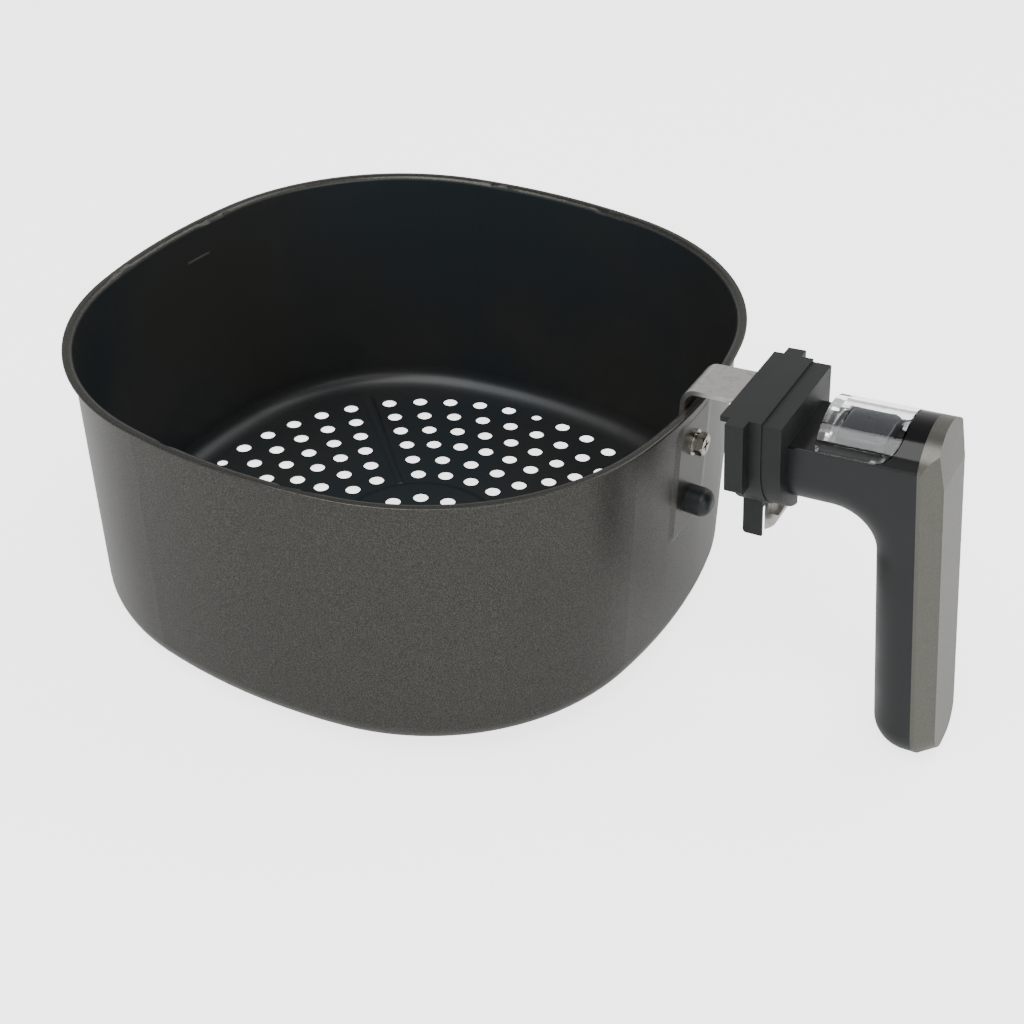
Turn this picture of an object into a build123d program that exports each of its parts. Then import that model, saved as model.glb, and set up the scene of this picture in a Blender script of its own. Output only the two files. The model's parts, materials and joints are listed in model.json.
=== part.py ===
"""Air-fryer basket with a removable drawer handle.

Frame, in millimetres: +Z up, the handle points to -Y, and the origin is the centre of the
basket's flat underside. The bracket, block and handle are drawn level in their own frame and
then tilted up about the rim, as the cranked bracket holds them.
"""

import os
from math import atan2, cos, degrees, pi, radians, sin, sqrt

from build123d import *

os.makedirs("parts", exist_ok=True)

# Basket shell: a rounded square made of eight tangent arcs
HALF = 110.0  # rim, centre to the middle of a side
SIDE_R = 205.8  # radius of each side
CORNER_R = 86.9  # radius of each corner
HEIGHT = 96.6
WALL = 0.7  # sheet thickness
WALL_IN = 2.8  # the wall's outer face stands in from HALF by this much
RIM_OUT = 0.15  # the turned-out rim flange reaches past HALF by this much
RIM_BEND = 1.9  # inner-side radius of the bend between wall and flange
FOOT_R = 8.5  # outer radius between wall and floor
FLOOR_RISE = 0.8  # the floor panel stands above the foot ring
FLOOR_TOP = FLOOR_RISE + WALL
PANEL_IN = 12.2  # edge of the raised panel, in from HALF
HOLE_R = 3.0
SMALL_HOLE_R = 2.15

# Floor pattern: radius of each ring and the half-sector hole angles
CENTRE_RING_R = 10.5
INNER_RING_R = 21.3
RINGS = (
    (39.1, (0.0, 16.2, 32.4)),
    (49.8, (7.0, 21.0, 35.0)),
    (60.8, (5.25, 15.75, 26.25, 36.75)),
    (71.7, (0.0, 9.55, 19.1, 28.65, 38.2)),
    (82.6, (4.35, 13.05, 21.75, 30.45, 39.2)),
    (93.7, (7.95, 15.9, 23.85, 31.8, 39.9)),
)
PLATEAU_R = (33.3, 30.0)  # foot and top of the raised centre
PLATEAU_RISE = 1.15
RIB_IN = 34.0
RIB_OUT = 98.0
RIB_R = (2.5, 3.5)  # rib radius at its inner and outer end
RIB_SUNK = 2.0  # depth of the rib's axis below the floor's top

# Fill mark on the far wall
MARK_X = 14.5
MARK_Z = 83.4

# Pressed seat for the bracket in the front wall
SEAT_Y = -107.3
SEAT_HALF = 10.5
SEAT_Z = (46.0, 88.0)
SEAT_RAMP = 6.0  # the seat fades into the curved wall over this width

# Bracket
STRAP_T = 1.6
STRAP_HALF = 9.5
STRAP_TOP = 102.8
LEG_OUT = SEAT_Y + WALL
LEG_Z = 48.6
SCREW_Z = 78.6
BUMPER_Z = 56.4
BUMPER_R = 4.9

# Tilt of everything beyond the bracket's crank
TILT = 4.97
PIVOT = (-110.0, 96.0)  # the point of the level frame that lies on the rim

# Block, in the level frame
BLOCK_HALF = 22.0
BLOCK_TOP = 104.0
BLOCK_ROUND_Z = 88.3
LIP_Y = -123.8
FRONT_Y = -127.0
LIP_T = 1.8
FLANGE_Y = -132.9
SEAM_Y = -136.9
BACK_Y = -143.0
FLANGE_OUT = 26.3
FLANGE_Z = 80.1
PLATE_HALF = 21.5
PLATE_TOP = 103.2
PLATE_ROUND_Z = 88.3
TONGUE_HALF = 10.0
TONGUE_Y = -133.4
TONGUE_Z = 55.2
CHANNEL_HALF = 9.0  # the tongue is a channel open to the rear
CHANNEL_Y = -127.9
SLOT_HALF = 4.6

# Latch lever
PIN_Y = -137.0
PIN_Z = 82.0
PIN_R = 1.5
LEVER_HALF = 4.4
HOOK_Y = (-132.2, -133.4, -136.9)  # front and rear of the strip, tip of the nose
HOOK_Z = (60.7, 59.6, 54.1)  # ledge, start and end of the nose's round
LEVER_HUB_R = 3.2

# Arm and grip
ARM_HALF = 15.2
ARM_TOP = 93.4
ARM_LOW = 71.6
ARM_EDGE_R = 12.0
PART_Y = -182.1
GRIP_LOW = -17.5
PART_LOW_Y = -188.7
INNER_TOP_Y = -168.5
INNER_LOW_Y = -173.55
COVER_LOW_Y = -195.6
COVER_HEEL_R = 2.0
# Bevel of the cover at two depths below the parting plane: depth, half width, rise, corner
COVER_BEVEL = ((1.2, 15.3, 0.0, 12.0), (7.6, 10.4, 2.8, 8.5))
BEND_R = 13.5
DECK_TOP = 94.0
ARCH_Z = 92.0  # guard, hump and cover share one elliptical arch above this level
ARCH_HALF = 15.4
ARCH_RISE = 11.5
RAMP_Y = -167.2
RAMP_Z = 102.5
RAMP_R = 8.8
RAIL_Y = (-167.5, -152.5)

# Guard and button
GUARD_T = 1.9
GUARD_LOW = DECK_TOP + 0.3
GUARD_Y = -151.0
GUARD_R = 8.5
END_RIM_T = 4.5  # the guard's end rim is this deep and END_RIM_Y long
END_RIM_Y = 3.0
GROOVE_HALF = 13.4
GROOVE_TOP = 96.6
BUTTON_HALF = 9.6
BUTTON_Y = (-155.0, -170.5)
BUTTON_TOP = 97.8
BUTTON_LOW = 92.5
STEM_Y = -161.0
STEM_R = 2.4
STEM_LOW = 83.65

PARTS = {}


def level(shape):
    """Tilt a shape of the level frame into the basket's frame."""
    y, z = PIVOT
    return Pos(0, y, HEIGHT) * Rot(X=-TILT) * Pos(0, -y, -z) * shape


def along_x(face, half):
    """Solid from a face drawn in (y, z), extruded both ways along X."""
    return extrude(Plane.YZ * face, amount=half, both=True)


def along_y(face, y0, y1):
    """Solid from a face drawn in (x, z), extruded from y0 outward to y1."""
    plane = Plane((0, y0, 0), x_dir=(1, 0, 0), z_dir=(0, -1, 0))
    return extrude(plane * face, amount=y0 - y1)


def rod_y(x, z, radius, y0, y1):
    """Cylinder along Y at x, z from y0 outward to y1."""
    plane = Plane((x, y0, z), x_dir=(1, 0, 0), z_dir=(0, -1, 0))
    return extrude(plane * Circle(radius), amount=y0 - y1)


def rod_x(y, z, radius, half):
    """Cylinder along X centred on y, z."""
    return extrude(Plane.YZ * Pos(y, z) * Circle(radius), amount=half, both=True)


def block(x, y, z):
    """Box from three (low, high) pairs."""
    size = [max(p) - min(p) for p in (x, y, z)]
    mid = [(p[0] + p[1]) / 2 for p in (x, y, z)]
    return Pos(*mid) * Box(*size)


def polygon(points):
    return make_face(Polyline(*points, close=True))


def corner_centre():
    """Distance of a corner arc's centre from each axis."""
    b = SIDE_R - HALF
    gap = SIDE_R - CORNER_R
    return (-b + sqrt(2 * gap * gap - b * b)) / 2


def outline(off, z):
    """Closed wire of the rounded square, grown by off, at height z."""
    side = SIDE_R + off
    corner = CORNER_R + off
    c = corner_centre()
    turn = atan2(c, c + SIDE_R - HALF)
    arcs = []
    for k in range(4):
        spin = k * pi / 2

        def at(x, y):
            return Vector(x * cos(spin) - y * sin(spin), x * sin(spin) + y * cos(spin), z)

        s = HALF - SIDE_R
        a = at(s + side * cos(turn), -side * sin(turn))
        m = at(s + side, 0)
        b = at(s + side * cos(turn), side * sin(turn))
        arcs.append(Edge.make_three_point_arc(a, m, b))
        d = corner / sqrt(2)
        e = at(side * sin(turn), s + side * cos(turn))
        arcs.append(Edge.make_three_point_arc(b, at(c + d, c + d), e))
    return Wire(arcs)


def drum(off, z0, z1, foot):
    """Solid of the basket's plan between two heights with a rounded foot."""
    solid = Solid.make_loft([outline(off, z0), outline(off, z1)], ruled=True)
    low = solid.faces().sort_by(Axis.Z)[0]
    return solid.fillet(foot, low.edges())


def floor_holes():
    """Centres and radii of every hole in the floor."""
    holes = []
    for k in range(6):
        a = radians(60 * k + 30)
        holes.append((CENTRE_RING_R * cos(a), CENTRE_RING_R * sin(a), HOLE_R))
    for k in range(12):
        a = radians(30 * k)
        holes.append((INNER_RING_R * cos(a), INNER_RING_R * sin(a), HOLE_R))
    for quarter in range(4):
        for radius, angles in RINGS:
            for angle in angles:
                for sign in (1, -1):
                    if angle == 0 and sign < 0:
                        continue
                    a = radians(90 * quarter + sign * angle)
                    holes.append((radius * cos(a), radius * sin(a), HOLE_R))
        a = radians(90 * quarter)
        holes.append((RINGS[-1][0] * cos(a), RINGS[-1][0] * sin(a), SMALL_HOLE_R))
    return holes


def rib(angle, thinner):
    """Tapered round bar lying along a diagonal of the floor."""
    inner, outer = (r - thinner for r in RIB_R)
    length = RIB_OUT - RIB_IN
    bar = Pos(length / 2, 0, 0) * Rot(Y=90) * Cone(inner, outer, length)
    bar += Pos(length, 0, 0) * Sphere(outer)
    bar += Sphere(inner)
    return Rot(Z=angle) * Pos(RIB_IN, 0, FLOOR_TOP - RIB_SUNK) * bar


def plateau(drop):
    """Raised round centre of the floor."""
    foot, top = PLATEAU_R
    return Pos(0, 0, FLOOR_TOP - drop + PLATEAU_RISE / 2) * Cone(foot, top, PLATEAU_RISE)


def pressed_floor(body):
    """Raise the floor panel, its centre and its four diagonal ribs from flat sheet."""
    slope = FLOOR_RISE
    panel = [outline(-PANEL_IN, WALL), outline(-PANEL_IN - slope, FLOOR_TOP)]
    pocket = [outline(-PANEL_IN - WALL, 0), outline(-PANEL_IN - WALL - slope, FLOOR_RISE)]
    body += Solid.make_loft(panel, ruled=True)
    body -= Solid.make_loft(pocket, ruled=True)
    above = block((-120, 120), (-120, 120), (FLOOR_TOP - WALL / 2, 8))
    body += plateau(0)
    body -= plateau(WALL)
    for k in range(4):
        body += rib(45 + 90 * k, 0) & above
        body -= rib(45 + 90 * k, WALL)
    return body


def rim_flange(body):
    """Turn the top of the wall outward into a flat flange with a rounded edge."""
    low = HEIGHT - WALL
    wires = [outline(RIM_OUT, low), outline(RIM_OUT, HEIGHT)]
    body += Solid.make_loft(wires, ruled=True)
    inner_corner = [e for e in body.edges() if is_outline_edge(e, low, -WALL_IN)]
    return body.fillet(RIM_BEND - WALL, inner_corner)


def is_outline_edge(edge, z, off):
    """True for an edge of the basket's plan outline at height z, grown by off."""
    if abs(edge.center().Z - z) > 0.01 or abs(edge.bounding_box().size.Z) > 0.01:
        return False
    reach = edge.position_at(0.5)
    half = max(abs(reach.X), abs(reach.Y))
    if half < 100:
        return abs(edge.radius - CORNER_R - off) < 0.01
    return abs(half - HALF - off) < 0.01


def seat_pad(y0, y1, grow0, grow1):
    """Tapered block of the bracket's flat seat between two depths."""
    z0, z1 = SEAT_Z
    faces = []
    for y, grow in ((y0, grow0), (y1, grow1)):
        plane = Plane((0, y, (z0 + z1) / 2), x_dir=(1, 0, 0), z_dir=(0, -1, 0))
        size = (2 * (SEAT_HALF + grow), z1 - z0 + 2 * grow)
        faces.append(plane * RectangleRounded(*size, 2 + grow))
    return loft(faces, ruled=True)


def fill_mark():
    """Raised level mark on the inner face of the far wall."""
    turn = degrees(MARK_X / SIDE_R)
    on_wall = Pos(0, HALF - SIDE_R, MARK_Z) * Rot(Z=-turn)
    return on_wall * Pos(0, SIDE_R - WALL_IN - WALL, 0) * Box(11.5, 0.6, 0.7)


def basket_shell():
    """Pressed steel basket: wall, turned-out rim, pierced floor and bracket seat."""
    body = drum(-WALL_IN, 0.0, HEIGHT, FOOT_R)
    body = rim_flange(body)
    body -= drum(-WALL_IN - WALL, WALL, HEIGHT + 5, FOOT_R - WALL)
    bend = [e for e in body.edges() if is_outline_edge(e, HEIGHT, -WALL_IN - WALL)]
    body = body.fillet(RIM_BEND, bend)
    edge = [e for e in body.edges() if is_outline_edge(e, HEIGHT, RIM_OUT)]
    body = body.fillet(WALL * 0.8, edge)
    body += seat_pad(LEG_OUT + 0.3, SEAT_Y, SEAT_RAMP, 0)
    body -= block((-SEAT_HALF, SEAT_HALF), (LEG_OUT, LEG_OUT + 3), (SEAT_Z[0], HEIGHT + 1))
    body = pressed_floor(body)
    body -= [Pos(x, y, 0) * Cylinder(r, 12) for x, y, r in floor_holes()]
    body -= rod_y(0, SCREW_Z, 2.15, -100, -115)
    body -= rod_y(0, BUMPER_Z, 1.55, -100, -115)
    return body + fill_mark()


def level_to_frame(y, z):
    """A point of the level frame in the basket's frame."""
    t = radians(TILT)
    dy = y - PIVOT[0]
    dz = z - PIVOT[1]
    return (PIVOT[0] + dy * cos(t) + dz * sin(t), HEIGHT + dz * cos(t) - dy * sin(t))


def hook_bracket():
    """Steel strap: leg inside the basket, over the rim, then down into the block."""
    mid = STRAP_T / 2
    leg_y = LEG_OUT + mid
    far = level_to_frame(-135.0, STRAP_TOP - mid)
    near = level_to_frame(-112.0, STRAP_TOP - mid)
    slope = (far[1] - near[1]) / (far[0] - near[0])
    top = (leg_y, near[1] + slope * (leg_y - near[0]))
    end = level_to_frame(-135.0, 92.0)
    path = FilletPolyline((leg_y, LEG_Z), top, far, end, radius=[4.4, 2.2])
    strap = make_face(offset_path(path, mid))
    solid = along_x(strap, STRAP_HALF)
    solid -= rod_y(0, SCREW_Z, 2.15, -100, -112)
    solid -= rod_y(0, BUMPER_Z, 1.55, -100, -112)
    for x in (-7, 7):
        solid -= level(rod_y(x, 97.0, 1.55, -125, -143))
    return solid


def offset_path(path, gap):
    """Closed outline of a strip of half-thickness gap along a planar path."""
    return offset(path, amount=gap, side=Side.BOTH).wires()[0]


def hexagon(radius_flat, x, z, y0, y1):
    plane = Plane((x, y0, z), x_dir=(1, 0, 0), z_dir=(0, -1, 0))
    return extrude(plane * RegularPolygon(radius_flat, 6, major_radius=False), amount=y0 - y1)


def hook_fasteners():
    """Hex screw with its two washers, and the weld nut inside the leg."""
    y = SEAT_Y
    flat = rod_y(0, SCREW_Z, 4.4, y, y - 0.7) - rod_y(0, SCREW_Z, 2.1, y + 1, y - 2)
    lock = rod_y(0, SCREW_Z, 3.5, y - 0.7, y - 1.6) - rod_y(0, SCREW_Z, 2.1, y + 1, y - 3)
    lock -= block((-0.35, 0.35), (y - 3, y + 1), (SCREW_Z, SCREW_Z + 5))
    head = hexagon(3.5, 0, SCREW_Z, y - 1.6, y - 4.2)
    dome = rod_y(0, SCREW_Z, 3.95, y - 1.6, y - 4.2)
    dome = chamfer(dome.faces().sort_by(Axis.Y)[0].edges(), 0.55)
    head &= dome
    for a, b in ((2.1, 0.45), (0.45, 2.1)):
        head -= block((-a, a), (y - 5, y - 3.0), (SCREW_Z - b, SCREW_Z + b))
    shank = rod_y(0, SCREW_Z, 2.0, -101.4, y - 1.6)
    nut = hexagon(3.5, 0, SCREW_Z, -102.2, LEG_OUT + STRAP_T)
    nut -= rod_y(0, SCREW_Z, 2.0, -95, -110)
    PARTS["hook_flat_washer"] = flat
    PARTS["hook_lock_washer"] = lock
    PARTS["hook_screw"] = head + shank
    PARTS["hook_weld_nut"] = nut


def bumper():
    """Rubber bumper pushed through the wall, with a domed nose."""
    y = SEAT_Y
    nose = rod_y(0, BUMPER_Z, BUMPER_R, y, y - 8.6)
    nose = fillet(nose.faces().sort_by(Axis.Y)[0].edges(), 3.6)
    return nose + rod_y(0, BUMPER_Z, 1.5, -102.4, y)


def bumper_nut():
    """Push nut that holds the bumper's stem inside the basket."""
    y0 = LEG_OUT + STRAP_T
    ring = rod_y(0, BUMPER_Z, 4.0, y0 + 1.4, y0)
    return ring - rod_y(0, BUMPER_Z, 1.5, y0 + 4, y0 - 4)


def shield(half, top, round_z):
    """Face with a flat top, square shoulders and a semicircular lower end, in (x, z)."""
    face = Pos(0, (top + round_z) / 2) * Rectangle(2 * half, top - round_z)
    below_top = Pos(0, top - 2 * half) * Rectangle(4 * half, 4 * half)
    return face + (Pos(0, round_z) * Circle(half) & below_top)


def tongue():
    """Channel hanging below the block, open to the rear round the latch hook."""
    side = polygon([(FRONT_Y, TONGUE_Z), (FRONT_Y, 75), (TONGUE_Y, 75), (TONGUE_Y, TONGUE_Z)])
    side = fillet(side.vertices().sort_by(Axis.Y)[:2].sort_by(Axis.X)[-1], 1.2)
    body = along_x(side, TONGUE_HALF)
    inside = block((-CHANNEL_HALF, CHANNEL_HALF), (-150, CHANNEL_Y), (40, 66))
    return body - inside


def block_front():
    """Front half of the block: overhanging lip, side flanges and hanging tongue."""
    body = along_y(shield(BLOCK_HALF, BLOCK_TOP, BLOCK_ROUND_Z), FRONT_Y, SEAM_Y)
    body += block((-BLOCK_HALF, BLOCK_HALF), (FRONT_Y, LIP_Y), (BLOCK_TOP - LIP_T, BLOCK_TOP))
    flange = block((-FLANGE_OUT, FLANGE_OUT), (FLANGE_Y, FRONT_Y), (FLANGE_Z, BLOCK_TOP))
    corners = flange.edges().filter_by(Axis.Y).group_by(Axis.Z)[0]
    body += fillet(corners, 1.6)
    body += tongue()
    body -= block((-SLOT_HALF, SLOT_HALF), (-150, CHANNEL_Y), (40, 87.5))
    return cut_block(body)


def block_back():
    """Back half of the block, a plate with a round lower end."""
    body = along_y(shield(PLATE_HALF, PLATE_TOP, PLATE_ROUND_Z), SEAM_Y, BACK_Y)
    body -= block((-SLOT_HALF, SLOT_HALF), (-150, CHANNEL_Y), (66.0, 87.5))
    return cut_block(body)


def cut_block(body):
    """Openings both halves of the block share: strap, screws, pin and spring."""
    half = STRAP_HALF + 0.1
    low = STRAP_TOP - STRAP_T - 0.1
    body -= block((-half, half), (-136.2, -120), (low, STRAP_TOP + 0.1))
    body -= block((-half, half), (-136.2, -132.6), (91.2, STRAP_TOP + 0.1))
    for x in (-7, 7):
        body -= rod_y(x, 97.0, 1.5, -120, -141.5)
        body -= rod_y(x, 97.0, 2.9, -120, -129.5)
    for x in (-11.4, 11.4):
        body -= rod_y(x, 81.0, 1.75, -120, -150)
        body -= rod_y(x, 81.0, 3.3, -120, -129.8)
    body -= rod_x(PIN_Y, PIN_Z, PIN_R, 9.0)
    body -= block((4.4, 8.4), (-141.2, -132.8), (77.8, 86.2))
    return body


def pan_screw(x, z, shank, head, y0, head_len, y1):
    """Pan-head screw along Y with a cross recess in its head."""
    body = rod_y(x, z, head, y0, y0 - head_len)
    body = fillet(body.faces().sort_by(Axis.Y)[-1].edges(), 0.6)
    for a, b in ((head * 0.6, 0.4), (0.4, head * 0.6)):
        body -= block((x - a, x + a), (y0 - 1.1, y0 + 1), (z - b, z + b))
    return body + rod_y(x, z, shank, y0 - head_len, y1)


def latch_lever():
    """Rocking lever: fork under the button, hub on the pin and hook below the block."""
    arm = polygon([(-137, 83.5), (-164.5, 83.5), (-164.5, 81.0), (-137, 80.2)])
    front, rear, tip = HOOK_Y
    ledge, round_top, low = HOOK_Z
    sides = Polyline((front, low), (front, 77.0), (-134.6, 84.6), (-136.0, 84.0), (rear, 76.5),
                     (rear, ledge), (tip, ledge), (tip, round_top))
    nose = ThreePointArc((tip, round_top), (-135.5, 56.7), (front, low))
    strip = make_face([*sides.edges(), nose])
    body = along_x(arm, LEVER_HALF - 1.0) + along_x(strip, LEVER_HALF)
    body += rod_x(PIN_Y, PIN_Z, LEVER_HUB_R, LEVER_HALF)
    return body - rod_x(PIN_Y, PIN_Z, PIN_R + 0.06, 20)


def coil(radius, wire, pitch, height):
    """Round-wire helical spring along Z, standing on z = 0."""
    path = Helix(pitch, height, radius)
    section = Plane(origin=path @ 0, z_dir=path % 0) * Circle(wire)
    return sweep(section, path=path)


def latch_spring():
    """Torsion spring on the pin beside the lever."""
    turns = coil(2.75, 0.35, 0.82, 2.7)
    turns = Pos(4.95, PIN_Y, PIN_Z) * Rot(Y=90) * turns
    return turns


def handle_body():
    """One-piece arm and grip with its bend, pockets and bosses."""
    corners = [(BACK_Y, ARM_TOP), (PART_Y, ARM_TOP), (PART_LOW_Y, GRIP_LOW),
               (INNER_LOW_Y, GRIP_LOW), (INNER_TOP_Y, ARM_LOW), (BACK_Y, ARM_LOW)]
    side = polygon(corners)
    bend = side.vertices().sort_by_distance((INNER_TOP_Y, ARM_LOW, 0))[0]
    side = fillet(bend, BEND_R)
    heel = side.vertices().sort_by_distance((INNER_LOW_Y, GRIP_LOW, 0))[0]
    side = fillet(heel, ARM_EDGE_R + 0.5)
    body = along_x(side, ARM_HALF)
    lower = [e for e in body.edges() if is_lower_edge(e)]
    body = fillet(lower, ARM_EDGE_R)
    body -= block((-5.4, 5.4), (-172.0, -140), (76.2, 85.2))
    body -= block((-BUTTON_HALF - 0.4, BUTTON_HALF + 0.4),
                  (BUTTON_Y[1] - 0.4, BUTTON_Y[0] + 0.4), (87.5, 100))
    body -= Pos(0, STEM_Y, 88) * Cylinder(STEM_R + 0.15, 12)
    for x in (-11.4, 11.4):
        body -= rod_y(x, 81.0, 1.5, -140, -159)
    body -= grip_hollow()
    for z in (58.0, 6.0):
        body -= rod_y(0, z, 1.6, -160, -195)
        body -= rod_y(0, z, 3.4, -160, inner_y(z) - 2.2)
    return body


def is_lower_edge(edge):
    """True for the long outer edges under the arm and round the grip's inner side."""
    c = edge.center()
    if abs(abs(c.X) - ARM_HALF) > 0.01:
        return False
    if c.Z > ARM_TOP - 1 or abs(c.Y - BACK_Y) < 0.01:
        return False
    return c.Y > part_y(c.Z) + 1.0


def part_y(z):
    """Y of the parting line between the body and the cover at height z."""
    share = (ARM_TOP - min(z, ARM_TOP)) / (ARM_TOP - GRIP_LOW)
    return PART_Y + (PART_LOW_Y - PART_Y) * share


def inner_y(z):
    """Y of the grip's inner face at height z."""
    share = (ARM_LOW - z) / (ARM_LOW - GRIP_LOW)
    return INNER_TOP_Y + (INNER_LOW_Y - INNER_TOP_Y) * share


def grip_hollow():
    """Moulded hollow in the grip, open toward the cover, clear of the two bosses."""
    low, high = 14.0, 50.0
    points = [(part_y(high) - 1, high), (part_y(low) - 1, low),
              (inner_y(low) - 5.5, low), (inner_y(high) - 5.5, high)]
    return along_x(polygon(points), 9.5)


def arch(thinner, low):
    """Face in (x, z): the shared elliptical arch, squared off down to low."""
    half = ARCH_HALF - thinner
    dome = Pos(0, ARCH_Z) * Ellipse(half, ARCH_RISE - thinner)
    dome &= Pos(0, ARCH_Z + 20) * Rectangle(80, 40)
    return dome + Pos(0, (ARCH_Z + low) / 2) * Rectangle(2 * half, ARCH_Z - low)


def ramp(radius):
    """Round end shared by the guard and the hump that it meets."""
    return Pos(0, RAMP_Y, RAMP_Z) * Rot(Y=90) * Cylinder(radius, 60)


def top_deck():
    """Gloss deck along the arm, its slide rails and the hump behind the guard."""
    plate = block((-ARM_HALF, ARM_HALF), (PART_Y, BACK_Y), (ARM_TOP, DECK_TOP))
    plate = fillet(plate.edges().filter_by(Axis.Y).group_by(Axis.Z)[-1], 0.4)
    hump = along_y(arch(0, 85), -160, PART_Y) - ramp(RAMP_R)
    hump -= block((-30, 30), (RAMP_Y, -150), (80, 120))
    hump -= block((-30, 30), (-200, -150), (80, ARM_TOP))
    body = plate + hump
    for side in (1, -1):
        x0, x1, x2 = 11.85 * side, 12.5 * side, 13.2 * side
        body += block((x0, x1), RAIL_Y, (DECK_TOP - 0.1, 96.4))
        body += block((x0, x2), RAIL_Y, (95.6, 96.4))
    body -= block((-BUTTON_HALF - 0.3, BUTTON_HALF + 0.3),
                  (BUTTON_Y[1] - 0.3, BUTTON_Y[0] + 0.3), (90, 120))
    return body


def slide_guard():
    """Clear arched guard with a deep end rim, sliding along the deck over the button."""
    rim_y = GUARD_Y - END_RIM_Y
    body = along_y(arch(0, 85), GUARD_Y, RAMP_Y - GUARD_R + 0.2)
    body -= along_y(arch(GUARD_T, 80), rim_y, -200)
    body -= along_y(arch(END_RIM_T, 80), -140, -200)
    body -= block((-GROOVE_HALF, GROOVE_HALF), (-200, -140), (80, GROOVE_TOP))
    for side in (1, -1):
        body += block((12.75 * side, (ARCH_HALF - 0.9) * side),
                      (RAMP_Y + 0.2, GUARD_Y - 0.3), (80, 95.3))
    body -= block((-30, 30), (-200, -140), (70, GUARD_LOW))
    cutter = block((-30, 30), (-200, RAMP_Y), (80, 130)) - ramp(GUARD_R)
    return body - cutter


def release_button():
    """Button cap with rounded corners, hollow below, and its stem."""
    mid = (BUTTON_Y[0] + BUTTON_Y[1]) / 2
    size = (2 * BUTTON_HALF, BUTTON_Y[0] - BUTTON_Y[1])
    cap = Pos(0, mid, BUTTON_LOW) * extrude(RectangleRounded(*size, 2.4), BUTTON_TOP - BUTTON_LOW)
    cap = fillet(cap.faces().sort_by(Axis.Z)[-1].edges(), 1.0)
    hollow = extrude(RectangleRounded(size[0] - 3.2, size[1] - 3.2, 1.2), 4.0)
    cap -= Pos(0, mid, BUTTON_LOW - 1) * hollow
    stem = Pos(0, STEM_Y, STEM_LOW) * extrude(Circle(STEM_R), 95.8 - STEM_LOW)
    return cap + stem


def button_spring():
    """Compression spring round the stem, between the pocket's floor and the cap."""
    return Pos(0, STEM_Y, 87.85) * coil(3.4, 0.3, 1.35, 7.3)


def cover_bevel():
    """Solid whose sides and lower end slope in from the parting plane to the outer face."""
    length = 200
    faces = []
    for depth, half, rise, corner in COVER_BEVEL:
        plane = Plane((0, -depth, 0), x_dir=(1, 0, 0), z_dir=(0, -1, 0))
        face = Pos(0, rise + length / 2) * Rectangle(2 * half, length)
        face = fillet(face.vertices().sort_by(Axis.Y)[:2], corner)
        faces.append(plane * face)
    body = loft(faces, ruled=True) + extrude(faces[0], amount=-20)
    lean = atan2(PART_Y - PART_LOW_Y, ARM_TOP - GRIP_LOW)
    return Pos(0, PART_LOW_Y, GRIP_LOW) * Rot(X=-degrees(lean)) * body


def grip_cover():
    """Painted outer cover of the grip with bevelled sides and a top facet."""
    top = ARCH_Z + ARCH_RISE
    corners = [(PART_Y, top), (-186.6, top), (-189.3, 87.5), (COVER_LOW_Y, GRIP_LOW),
               (PART_LOW_Y, GRIP_LOW), (PART_Y, ARM_TOP)]
    side = polygon(corners)
    heel = side.vertices().sort_by_distance((COVER_LOW_Y, GRIP_LOW, 0))[0]
    side = fillet(heel, COVER_HEEL_R)
    body = along_x(side, ARM_HALF + 0.1) & along_y(arch(0, GRIP_LOW - 10), -170, -200)
    body &= cover_bevel()
    for z in (58.0, 6.0):
        body -= rod_y(0, z, 1.3, -170, part_y(z) - 3.5)
    return body


def build():
    PARTS["basket_shell"] = basket_shell()
    PARTS["hook_bracket"] = hook_bracket()
    hook_fasteners()
    PARTS["bumper"] = bumper()
    PARTS["bumper_nut"] = bumper_nut()
    tilted = {
        "block_front": block_front(),
        "block_back": block_back(),
        "strap_screw_left": pan_screw(-7, 97.0, 1.5, 2.8, -127.6, 1.9, -141.4),
        "strap_screw_right": pan_screw(7, 97.0, 1.5, 2.8, -127.6, 1.9, -141.4),
        "arm_screw_left": pan_screw(-11.4, 81.0, 1.5, 3.2, -127.6, 2.2, -158.8),
        "arm_screw_right": pan_screw(11.4, 81.0, 1.5, 3.2, -127.6, 2.2, -158.8),
        "latch_pin": rod_x(PIN_Y, PIN_Z, PIN_R, 8.9),
        "latch_lever": latch_lever(),
        "latch_spring": latch_spring(),
        "handle_body": handle_body(),
        "top_deck": top_deck(),
        "slide_guard": slide_guard(),
        "release_button": release_button(),
        "button_spring": button_spring(),
        "grip_cover": grip_cover(),
        "cover_screw_upper": pan_screw(0, 58.0, 1.3, 3.0, inner_y(58.0) - 0.3, 1.9,
                                       part_y(58.0) - 3.3),
        "cover_screw_lower": pan_screw(0, 6.0, 1.3, 3.0, inner_y(6.0) - 0.3, 1.9,
                                       part_y(6.0) - 3.3),
    }
    for name, shape in tilted.items():
        PARTS[name] = level(shape)


build()
for part_name, part_shape in PARTS.items():
    solids = part_shape.solids()
    print(part_name, len(solids), round(sum(s.volume for s in solids), 1))
    export_step(Compound(children=solids) if len(solids) > 1 else solids[0],
                f"parts/{part_name}.step")
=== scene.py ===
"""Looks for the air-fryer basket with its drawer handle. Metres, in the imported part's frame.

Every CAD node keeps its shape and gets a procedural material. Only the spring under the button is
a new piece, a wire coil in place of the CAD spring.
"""

import json
from math import cos, pi, radians, sin

import bpy
from mathutils import Matrix, Vector


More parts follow.
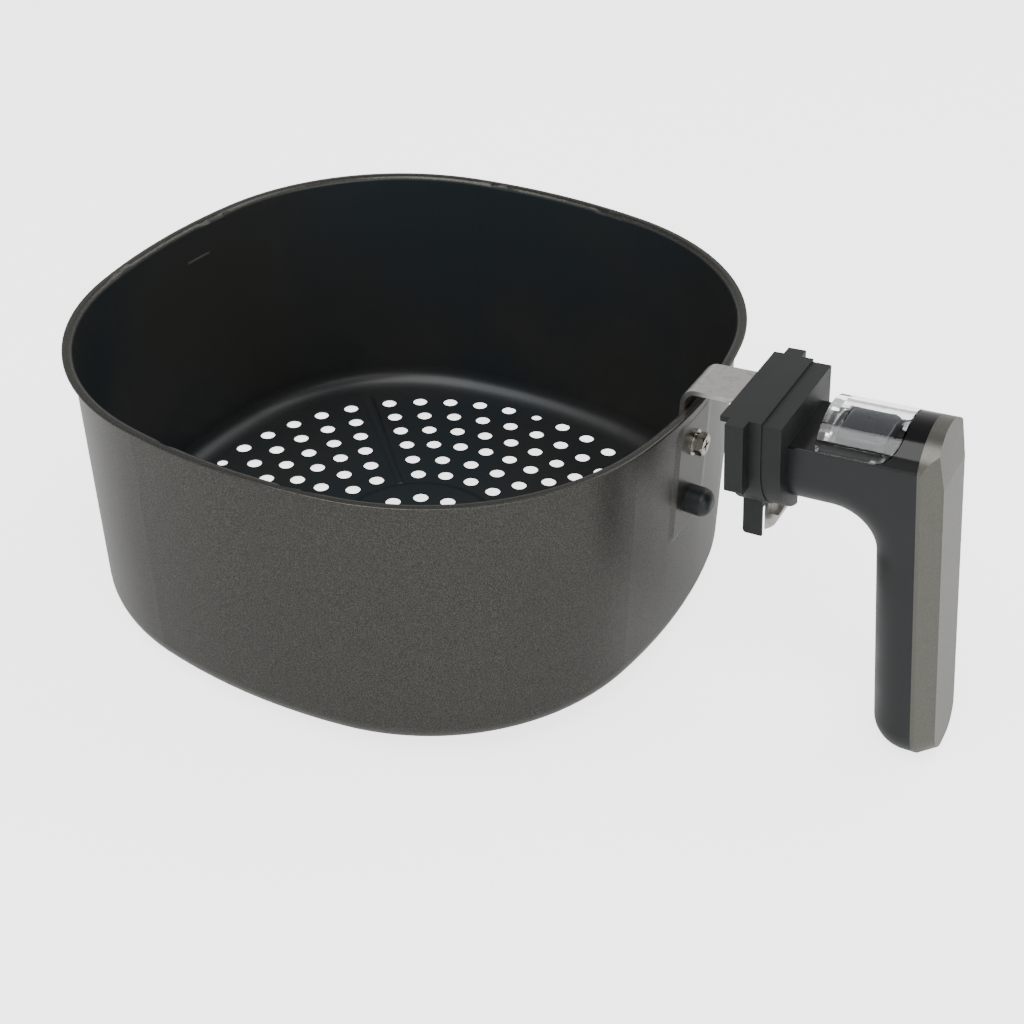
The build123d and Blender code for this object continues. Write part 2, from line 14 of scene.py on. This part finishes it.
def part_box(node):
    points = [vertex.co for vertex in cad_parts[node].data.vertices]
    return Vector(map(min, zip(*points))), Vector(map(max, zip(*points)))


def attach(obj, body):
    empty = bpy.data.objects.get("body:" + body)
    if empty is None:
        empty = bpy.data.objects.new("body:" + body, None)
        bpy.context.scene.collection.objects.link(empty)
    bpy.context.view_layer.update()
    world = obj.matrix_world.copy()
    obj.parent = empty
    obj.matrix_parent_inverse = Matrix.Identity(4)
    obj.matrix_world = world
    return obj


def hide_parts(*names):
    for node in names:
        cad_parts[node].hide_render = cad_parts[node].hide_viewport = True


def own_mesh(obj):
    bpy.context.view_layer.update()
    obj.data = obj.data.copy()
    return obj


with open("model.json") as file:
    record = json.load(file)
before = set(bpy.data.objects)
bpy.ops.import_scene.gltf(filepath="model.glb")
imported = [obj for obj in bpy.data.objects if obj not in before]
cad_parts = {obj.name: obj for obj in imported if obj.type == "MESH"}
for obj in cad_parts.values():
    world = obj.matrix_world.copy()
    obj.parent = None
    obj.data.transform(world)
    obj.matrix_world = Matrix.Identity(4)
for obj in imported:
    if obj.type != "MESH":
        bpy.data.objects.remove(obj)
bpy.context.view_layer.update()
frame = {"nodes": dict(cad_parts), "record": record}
NODES = frame["nodes"]

MM = 0.001

# Camera: viewing angle in degrees, distance from the origin, how far it is moved off that line
AZIMUTH = -61.096
ELEVATION = 36.176
ROLL = 0.735
DISTANCE = 578.3 * MM
SHIFT_RIGHT = 35.5 * MM
SHIFT_UP = 8.4 * MM
LIFT = 0.6 * MM
LENS = 53.357
SENSOR = 36

# Basket paint outside and non-stick coating inside
PAINT_DARK = (0.046, 0.045, 0.040, 1.0)
PAINT_LIGHT = (0.104, 0.103, 0.094, 1.0)
COAT_COOL = (0.0230, 0.0300, 0.0340, 1.0)
COAT_WARM = (0.0330, 0.0340, 0.0315, 1.0)
COAT_DUST = (0.2, 0.2, 0.19, 1.0)

# Painted highlight on the raised fill mark of the far wall: its span along X and its height
MARK_X = (8.5 * MM, 20.5 * MM)
MARK_Z = (83.0 * MM, 83.8 * MM)
# Colour of the highlight painted onto the fill mark
MARK_HIGHLIGHT = (0.085, 0.088, 0.092, 1.0)

# Spring under the button
SPRING_RADIUS = 3.4 * MM
SPRING_WIRE = 0.3 * MM
SPRING_HEIGHT = 7.2 * MM
SPRING_TURNS = 5.4
SPRING_STEPS = 32  # straight runs in each turn

# Floor: a plane through the far foot of the basket and the tip of the grip. It shines brighter
# where it is seen directly, or through the clear guard, than where the object reflects it.
FLOOR_SIZE = 6.0
FOOT_IN = 11 * MM  # where the basket's foot touches, in from its far side
TIP_IN = 5 * MM  # where the grip's tip touches, in from its outer side
FLOOR_GLOW = 0.15
FLOOR_SEEN = 2.6

# World: brightness at the horizon and overhead, and the band of sine of elevation between them
WORLD_HORIZON = 0.8
WORLD_ZENITH = 0.22
WORLD_BAND = (0.25, 0.85)

# Lights: name, azimuth, elevation, distance, width and height, power
LIGHTS = (
    ("key_light", -95, 62, 1.6, (1.4, 1.4), 22),
    ("back_light", 60, 50, 1.8, (1.6, 1.2), 14),
    ("low_front_light", -30, 18, 1.6, (1.2, 0.8), 6),
)
LIGHT_AIM = Vector((0, -0.03, 0.05))


# ---------------------------------------------------------------- camera, floor and lights

def view_axes(azimuth, elevation, roll):
    """Right, up and back vectors of a camera looking along the given angles."""
    a, e, r = radians(azimuth), radians(elevation), radians(roll)
    back = Vector((sin(a) * cos(e), -cos(a) * cos(e), sin(e)))
    right = Vector((cos(a), sin(a), 0))
    up = back.cross(right)
    return right * cos(r) + up * sin(r), up * cos(r) - right * sin(r), back


def add_camera():
    """Camera at the viewing angle, moved sideways to frame the basket and its handle."""
    right, up, back = view_axes(AZIMUTH, ELEVATION, ROLL)
    data = bpy.data.cameras.new("camera")
    data.lens = LENS
    data.sensor_width = SENSOR
    camera = bpy.data.objects.new("camera", data)
    bpy.context.scene.collection.objects.link(camera)
    camera.matrix_world = Matrix((right, up, back)).transposed().to_4x4()
    camera.location = right * SHIFT_RIGHT + up * SHIFT_UP + back * DISTANCE
    camera.location.z += LIFT
    bpy.context.scene.camera = camera


def add_floor(material):
    """Plane on which the basket's far foot and the grip's tip stand."""
    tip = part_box("grip_cover")[0]
    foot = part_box("basket_shell")[1].y - FOOT_IN
    slope = -tip.z / (foot - tip.y - TIP_IN)
    mesh = bpy.data.meshes.new("floor")
    half = FLOOR_SIZE / 2
    corners = [(x, y, (y - foot) * slope) for x, y in
               ((-half, -half), (half, -half), (half, half), (-half, half))]
    mesh.from_pydata(corners, [], [(0, 1, 2, 3)])
    floor = bpy.data.objects.new("floor", mesh)
    bpy.context.scene.collection.objects.link(floor)
    mesh.materials.append(material)


def add_area_light(name, azimuth, elevation, distance, size, power):
    """Rectangular light that faces the object from the given angles."""
    _, _, back = view_axes(azimuth, elevation, 0)
    data = bpy.data.lights.new(name, "AREA")
    data.shape = "RECTANGLE"
    data.size, data.size_y = size
    data.energy = power
    light = bpy.data.objects.new(name, data)
    bpy.context.scene.collection.objects.link(light)
    light.location = LIGHT_AIM + back * distance
    light.rotation_mode = "QUATERNION"
    light.rotation_quaternion = back.to_track_quat("Z", "Y")


def add_world():
    """A studio that is bright near the horizon and dim overhead."""
    world = bpy.data.worlds.new("world")
    bpy.context.scene.world = world
    world.use_nodes = True
    tree = world.node_tree
    place = tree.nodes.new("ShaderNodeTexCoord")
    split = tree.nodes.new("ShaderNodeSeparateXYZ")
    blend = tree.nodes.new("ShaderNodeMapRange")
    blend.interpolation_type = "SMOOTHSTEP"
    low, high = WORLD_BAND
    values = {"From Min": low, "From Max": high, "To Min": WORLD_HORIZON, "To Max": WORLD_ZENITH}
    for name, value in values.items():
        blend.inputs[name].default_value = value
    tree.links.new(place.outputs["Generated"], split.inputs[0])
    tree.links.new(split.outputs["Z"], blend.inputs["Value"])
    background = tree.nodes["Background"]
    background.inputs["Color"].default_value = (1, 1, 1, 1)
    tree.links.new(blend.outputs[0], background.inputs["Strength"])


# ---------------------------------------------------------------- materials

class Shader:
    """A material's node tree, with short calls for the nodes used here."""

    def __init__(self, name):
        self.material = bpy.data.materials.new(name)
        self.material.use_nodes = True
        self.tree = self.material.node_tree
        self.surface = self.tree.nodes["Principled BSDF"]
        self.position = self.node("ShaderNodeTexCoord").outputs["Object"]

    def node(self, kind, **values):
        """Add a node of a kind, with its properties."""
        made = self.tree.nodes.new(kind)
        for key, value in values.items():
            setattr(made, key, value)
        return made

    def link(self, value, socket):
        """Connect a socket, or set a plain value."""
        if isinstance(value, bpy.types.NodeSocket):
            self.tree.links.new(value, socket)
        else:
            socket.default_value = value

    def set(self, **values):
        """Connect or set sockets of the surface shader, named with underscores."""
        for key, value in values.items():
            self.link(value, self.surface.inputs[key.replace("_", " ")])

    def math(self, operation, a, b, clamp=False):
        made = self.node("ShaderNodeMath", operation=operation, use_clamp=clamp)
        self.link(a, made.inputs[0])
        self.link(b, made.inputs[1])
        return made.outputs[0]

    def noise(self, scale, detail, roughness=0.5):
        """Noise of a scale per metre."""
        made = self.node("ShaderNodeTexNoise")
        made.inputs["Scale"].default_value = scale
        made.inputs["Detail"].default_value = detail
        made.inputs["Roughness"].default_value = roughness
        self.link(self.position, made.inputs["Vector"])
        return made.outputs["Fac"]

    def ramp(self, value, low, high, out_low=0.0, out_high=1.0):
        """Smooth step from out_low to out_high while value goes from low to high."""
        made = self.node("ShaderNodeMapRange", interpolation_type="SMOOTHSTEP")
        for socket, v in zip(made.inputs, (value, low, high, out_low, out_high)):
            self.link(v, socket)
        return made.outputs[0]

    def within(self, value, low, high):
        """1 between two values and 0 beyond them, with a short soft edge."""
        edge = 0.1 * MM
        above = self.ramp(value, low - edge, low)
        return self.math("MULTIPLY", above, self.ramp(value, high, high + edge, 1.0, 0.0))

    def split(self, vector):
        """X, Y and Z outputs of a vector."""
        made = self.node("ShaderNodeSeparateXYZ")
        self.link(vector, made.inputs[0])
        return made.outputs

    def mix(self, factor, a, b):
        """Colour a where factor is 0 and colour b where it is 1."""
        made = self.node("ShaderNodeMix", data_type="RGBA")
        colours = [socket for socket in made.inputs if socket.type == "RGBA"]
        self.link(factor, made.inputs["Factor"])
        self.link(a, colours[0])
        self.link(b, colours[1])
        return next(socket for socket in made.outputs if socket.type == "RGBA")

    def bump(self, height, distance, strength=1.0):
        made = self.node("ShaderNodeBump")
        made.inputs["Strength"].default_value = strength
        made.inputs["Distance"].default_value = distance
        self.link(height, made.inputs["Height"])
        return made.outputs[0]


def colour(r, g, b):
    return (r, g, b, 1.0)


def darker(base, share):
    """A colour with each channel cut down to a share of itself."""
    return colour(*(channel * share for channel in base[:3]))


def moulded_plastic(name, base, roughness, grain=0.02 * MM):
    """Moulded plastic: fine erosion grain, faint patches of gloss and colour."""
    s = Shader(name)
    patches = s.noise(45, 3.0)
    fine = s.noise(5200, 2.0)
    s.set(Base_Color=s.mix(patches, base, darker(base, 0.86)),
          Roughness=s.ramp(patches, 0.3, 0.7, roughness - 0.05, roughness + 0.05),
          Normal=s.bump(fine, grain))
    s.surface.inputs["Specular IOR Level"].default_value = 0.4
    return s.material


def plain_metal(name, base, roughness, scuff=0.1):
    """Bright plated or milled steel with light scuffs."""
    s = Shader(name)
    scuffs = s.noise(260, 6.0, 0.7)
    s.set(Base_Color=s.mix(s.ramp(scuffs, 0.45, 0.7), base, darker(base, 0.7)), Metallic=1.0,
          Roughness=s.ramp(scuffs, 0.35, 0.7, roughness, roughness + scuff),
          Normal=s.bump(scuffs, 0.04 * MM, 0.5))
    return s.material


def metallic_paint(name, dark, light, roughness):
    """Satin paint with fine metal flakes, drifting slightly in tone."""
    s = Shader(name)
    flakes = s.noise(3600, 2.0, 0.6)
    drift = s.noise(9, 2.0)
    paint = s.mix(s.ramp(flakes, 0.40, 0.64), dark, light)
    s.set(Base_Color=s.mix(s.math("MULTIPLY", drift, 0.3), paint, dark), Metallic=0.8,
          Roughness=s.ramp(flakes, 0.3, 0.7, roughness + 0.03, roughness - 0.03),
          Normal=s.bump(flakes, 0.012 * MM, 0.6))
    return s.material


def outer_side(s):
    """1 on the basket's outer side, its underside and its rim flange, 0 on its inner side."""
    normal = s.node("ShaderNodeNewGeometry").outputs["Normal"]
    flat = s.node("ShaderNodeVectorMath", operation="MULTIPLY")
    s.link(s.position, flat.inputs[0])
    flat.inputs[1].default_value = (1, 1, 0)
    facing = s.node("ShaderNodeVectorMath", operation="DOT_PRODUCT")
    s.link(normal, facing.inputs[0])
    s.link(flat.outputs[0], facing.inputs[1])
    outward = s.ramp(facing.outputs["Value"], -4 * MM, 4 * MM)
    rise = s.split(normal)["Z"]
    not_up = s.math("SUBTRACT", 1.0, s.ramp(rise, 0.3, 0.6))
    downward = s.ramp(rise, -0.6, -0.3, 1.0, 0.0)
    outside = s.math("MAXIMUM", s.math("MULTIPLY", outward, not_up, clamp=True), downward)
    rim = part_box("basket_shell")[1].z
    flange = s.ramp(s.split(s.position)["Z"], rim - 1.3 * MM, rim - 1.0 * MM)
    return s.math("MAXIMUM", outside, flange)


def fill_mark(s):
    """1 on the raised fill mark of the far wall and 0 elsewhere: where the mark's highlight is
    painted.
    """
    place = s.split(s.position)
    on_mark = s.math("MULTIPLY", s.within(place["X"], *MARK_X), s.within(place["Z"], *MARK_Z))
    return s.math("MULTIPLY", on_mark, s.ramp(place["Y"], 0.0, MM))


def shell_coating():
    """Speckled bronze-grey paint outside, satin black coating inside, with a painted highlight on
    the fill mark.
    """
    s = Shader("shell_coating")
    outside = outer_side(s)
    fleck = s.noise(2600, 2.0, 0.6)
    cloud = s.noise(11, 3.0)
    dust = s.ramp(s.noise(700, 3.0, 0.6), 0.72, 0.80)
    paint = s.mix(s.ramp(fleck, 0.40, 0.66), PAINT_DARK, PAINT_LIGHT)
    paint = s.mix(s.math("MULTIPLY", cloud, 0.3), paint, PAINT_DARK)
    coat = s.mix(s.ramp(cloud, 0.4, 0.65), COAT_COOL, COAT_WARM)
    coat = s.mix(s.math("MULTIPLY", dust, 0.12), coat, COAT_DUST)
    # Painted highlight: the raised fill mark is coloured lighter than the coating around it
    coat = s.mix(fill_mark(s), coat, MARK_HIGHLIGHT)
    s.set(Base_Color=s.mix(outside, coat, paint),
          Metallic=s.ramp(outside, 0.0, 1.0, 0.25, 0.85),
          Roughness=s.ramp(outside, 0.0, 1.0, 0.34, 0.33),
          Normal=s.bump(fleck, 0.014 * MM, 0.6))
    return s.material


def clear_plastic():
    """Clear polycarbonate with a trace of haze."""
    s = Shader("clear_polycarbonate")
    haze = s.noise(180, 3.0)
    s.set(Base_Color=colour(0.97, 0.985, 0.985), IOR=1.5,
          Roughness=s.ramp(haze, 0.4, 0.8, 0.0, 0.02))
    s.surface.inputs["Transmission Weight"].default_value = 1.0
    return s.material


def floor_material():
    """Pale floor, brighter to the eye than in the object's reflections."""
    s = Shader("floor")
    s.set(Base_Color=colour(0.86, 0.86, 0.86), Roughness=0.7)
    rays = s.node("ShaderNodeLightPath").outputs
    seen = s.math("MAXIMUM", rays["Is Camera Ray"], rays["Is Transmission Ray"])
    s.surface.inputs["Emission Color"].default_value = colour(1, 1, 1)
    s.set(Emission_Strength=s.ramp(seen, 0.0, 1.0, FLOOR_GLOW, FLOOR_SEEN))
    return s.material


def dress(material, *names):
    """Give CAD nodes a material."""
    for name in names:
        slots = NODES[name].data.materials
        slots.clear()
        slots.append(material)


def add_materials(wire):
    """A material for every CAD node that is seen."""
    steel = plain_metal("strap_steel", colour(0.62, 0.60, 0.57), 0.30, 0.2)
    plated = plain_metal("plated_steel", colour(0.48, 0.455, 0.40), 0.2, 0.12)
    dress(shell_coating(), "basket_shell")
    dress(steel, "hook_bracket", "latch_lever", "latch_pin")
    dress(plated, "hook_flat_washer", "hook_lock_washer", "hook_screw", "hook_weld_nut",
          "bumper_nut", "strap_screw_left", "strap_screw_right", "arm_screw_left",
          "arm_screw_right", "cover_screw_upper", "cover_screw_lower")
    dress(wire, "latch_spring")
    dress(moulded_plastic("bumper_rubber", colour(0.014, 0.017, 0.018), 0.42), "bumper")
    dress(moulded_plastic("block_plastic", colour(0.0095, 0.0110, 0.0112), 0.45),
          "block_front", "block_back")
    dress(moulded_plastic("handle_plastic", colour(0.0115, 0.0142, 0.0150), 0.34), "handle_body")
    gloss = moulded_plastic("gloss_plastic", colour(0.006, 0.006, 0.007), 0.12, 0.004 * MM)
    dress(gloss, "top_deck")
    dress(moulded_plastic("button_plastic", colour(0.02, 0.024, 0.032), 0.3), "release_button")
    dress(clear_plastic(), "slide_guard")
    cover = metallic_paint("cover_paint", colour(0.120, 0.119, 0.102),
                           colour(0.165, 0.163, 0.145), 0.34)
    dress(cover, "grip_cover")


# ---------------------------------------------------------------- the button's spring

def joint(name):
    """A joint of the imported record."""
    return next(j for j in frame["record"]["behaviour"]["joints"] if j["name"] == name)


def button_coil(material):
    """The button's spring as its own wire coil, on the basket's body."""
    press = joint("button_press")
    up = -Vector(press["axis"]).normalized()
    across = Vector((1, 0, 0))
    along = up.cross(across)
    low, high = (Vector(corner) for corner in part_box("button_spring"))
    foot = (low + high) / 2 - up * SPRING_HEIGHT / 2
    data = bpy.data.curves.new("button_coil", "CURVE")
    data.dimensions = "3D"
    data.bevel_depth = SPRING_WIRE
    data.use_fill_caps = True
    steps = round(SPRING_TURNS * SPRING_STEPS)
    spline = data.splines.new("POLY")
    spline.points.add(steps)
    for k, point in enumerate(spline.points):
        turn = 2 * pi * SPRING_TURNS * k / steps
        out = (across * cos(turn) + along * sin(turn)) * SPRING_RADIUS
        point.co = (*(foot + out + up * SPRING_HEIGHT * k / steps), 1)
    wire = bpy.data.objects.new("button_coil_wire", data)
    coil = bpy.data.objects.new("button_coil", bpy.data.meshes.new_from_object(wire))
    bpy.data.objects.remove(wire)
    bpy.context.scene.collection.objects.link(coil)
    coil.data.materials.append(material)
    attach(coil, "basket")
    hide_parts("button_spring")
    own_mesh(coil)


add_camera()
spring_wire = plain_metal("spring_wire", colour(0.5, 0.5, 0.5), 0.25)
add_materials(spring_wire)
button_coil(spring_wire)
add_floor(floor_material())
add_world()
for light in LIGHTS:
    add_area_light(*light)
